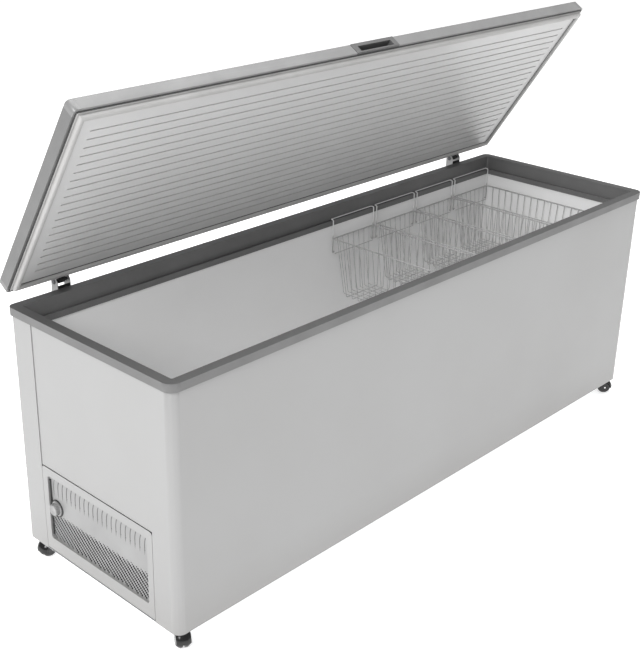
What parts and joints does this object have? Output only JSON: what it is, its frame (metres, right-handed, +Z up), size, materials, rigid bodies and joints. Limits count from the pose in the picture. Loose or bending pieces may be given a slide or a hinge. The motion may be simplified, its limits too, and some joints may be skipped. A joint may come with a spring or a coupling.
{
  "type": "chest freezer",
  "caption": "Long white chest freezer on casters with a hinged insulated lid, grey rim, vent grille with thermostat, and hanging wire baskets.",
  "frame": {"origin": "centre of the flat underside of the base pan", "axes": "+X along the length away from the machine bay, -Y towards the front where the lid opens, +Z up"},
  "size_m": [2.1425, 0.6966, 1.3756],
  "materials": {
    "white_enamel": "smooth stoved enamel",
    "liner_enamel": "satin enamel",
    "galvanised": "galvanised",
    "rim_plastic": "fine satin",
    "foam": "rigid foam",
    "copper": "drawn tube",
    "aluminium": "drawn",
    "black_paint": "semi-gloss",
    "black_plastic": "moulded",
    "black_rubber": "moulded",
    "perforated_steel": "painted, perforated",
    "knob_plastic": "moulded",
    "white_plastic": "moulded",
    "zinc": "zinc plated",
    "spring_steel": "oiled",
    "gasket": "soft PVC",
    "lid_panel": "embossed, satin",
    "edge_aluminium": "satin anodised",
    "edge_grey": "satin",
    "handle_plastic": "satin",
    "wire": "plated wire",
    "wheel_plastic": "moulded nylon"
  },
  "bodies": {
    "cabinet": {"front_wrap": "white_enamel", "rear_wrap": "white_enamel", "left_end_panel": "white_enamel", "right_end_panel": "white_enamel", "service_panel": "white_enamel", "vent_grille": "perforated_steel", "base_pan": "galvanised", "body_foam": "foam", "inner_liner": "liner_enamel", "rim_frame": "rim_plastic", "evaporator_tube": "aluminium", "compressor": "black_paint", "compressor_grommets": "black_rubber", "compressor_bolts": "zinc", "starter_box": "black_plastic", "condenser": "black_paint", "fan_shroud": "galvanised", "fan_motor": "black_plastic", "filter_drier": "copper", "refrigerant_pipes": "copper", "thermostat": "white_plastic", "drain_tube": "white_plastic", "cord_gland": "black_plastic", "hinge_screws": "zinc", "hinge_brackets": "galvanised", "hinge_pins": "zinc", "hinge_springs": "spring_steel", "hinge_covers": "black_plastic", "caster_sockets": "galvanised"},
    "lid": {"hinge_arms": "black_plastic", "lid_skin": "white_enamel", "lid_foam": "foam", "lid_inner_panel": "lid_panel", "lid_gasket": "gasket", "lid_front_edge": "edge_aluminium", "lid_rear_edge": "edge_aluminium", "lid_side_edges": "edge_grey", "lid_corners": "edge_grey", "lid_handle": "handle_plastic"},
    "fan": {"fan_blade": "black_plastic"},
    "knob": {"thermostat_knob": "knob_plastic"},
    "plug": {"drain_plug": "black_rubber"},
    "basket_1": {"basket_1": "wire"},
    "basket_2": {"basket_2": "wire"},
    "basket_3": {"basket_3": "wire"},
    "basket_4": {"basket_4": "wire"},
    "swivel_1": {"swivel_1": "black_plastic", "axle_1": "zinc"},
    "wheels_1": {"wheels_1": "wheel_plastic"},
    "swivel_2": {"swivel_2": "black_plastic", "axle_2": "zinc"},
    "wheels_2": {"wheels_2": "wheel_plastic"},
    "swivel_3": {"swivel_3": "black_plastic", "axle_3": "zinc"},
    "wheels_3": {"wheels_3": "wheel_plastic"},
    "swivel_4": {"swivel_4": "black_plastic", "axle_4": "zinc"},
    "wheels_4": {"wheels_4": "wheel_plastic"}
  },
  "joints": [
    {"name": "lid_hinge", "type": "hinge", "parent": "cabinet", "child": "lid", "pos_m": [0, 0.347, 0.732], "axis": [-1, 0, 0], "range_deg": [-57, 13]},
    {"name": "basket_1_lift", "type": "slide", "parent": "cabinet", "child": "basket_1", "axis": [0, 0, 1], "range_m": [0, 0.08]},
    {"name": "basket_2_lift", "type": "slide", "parent": "cabinet", "child": "basket_2", "axis": [0, 0, 1], "range_m": [0, 0.08]},
    {"name": "basket_3_lift", "type": "slide", "parent": "cabinet", "child": "basket_3", "axis": [0, 0, 1], "range_m": [0, 0.08]},
    {"name": "basket_4_lift", "type": "slide", "parent": "cabinet", "child": "basket_4", "axis": [0, 0, 1], "range_m": [0, 0.08]},
    {"name": "caster_1_swivel", "type": "hinge", "parent": "cabinet", "child": "swivel_1", "pos_m": [-1.0185, -0.283, -0.02], "axis": [0, 0, 1], "continuous": true},
    {"name": "caster_1_roll", "type": "hinge", "parent": "swivel_1", "child": "wheels_1", "pos_m": [-1.0275, -0.29859, -0.033], "axis": [0.866, -0.5, 0], "continuous": true},
    {"name": "caster_2_swivel", "type": "hinge", "parent": "cabinet", "child": "swivel_2", "pos_m": [-1.0185, 0.283, -0.02], "axis": [0, 0, 1], "continuous": true},
    {"name": "caster_2_roll", "type": "hinge", "parent": "swivel_2", "child": "wheels_2", "pos_m": [-1.03623, 0.27987, -0.033], "axis": [0.1736, -0.9848, 0], "continuous": true},
    {"name": "caster_3_swivel", "type": "hinge", "parent": "cabinet", "child": "swivel_3", "pos_m": [1.0185, -0.283, -0.02], "axis": [0, 0, 1], "continuous": true},
    {"name": "caster_3_roll", "type": "hinge", "parent": "swivel_3", "child": "wheels_3", "pos_m": [1.03188, -0.29504, -0.033], "axis": [0.6691, 0.7431, 0], "continuous": true},
    {"name": "caster_4_swivel", "type": "hinge", "parent": "cabinet", "child": "swivel_4", "pos_m": [1.0185, 0.283, -0.02], "axis": [0, 0, 1], "continuous": true},
    {"name": "caster_4_roll", "type": "hinge", "parent": "swivel_4", "child": "wheels_4", "pos_m": [1.03541, 0.28916, -0.033], "axis": [-0.342, 0.9397, 0], "continuous": true},
    {"name": "thermostat_turn", "type": "hinge", "parent": "cabinet", "child": "knob", "pos_m": [-1.0625, 0.183, 0.151], "axis": [-1, 0, 0], "range_deg": [-150, 150]},
    {"name": "fan_spin", "type": "hinge", "parent": "cabinet", "child": "fan", "pos_m": [-1.0005, -0.095, 0.14], "axis": [-1, 0, 0], "continuous": true},
    {"name": "drain_plug_pull", "type": "slide", "parent": "cabinet", "child": "plug", "axis": [0, 0, 1], "range_m": [0, 0.03]}
  ]
}
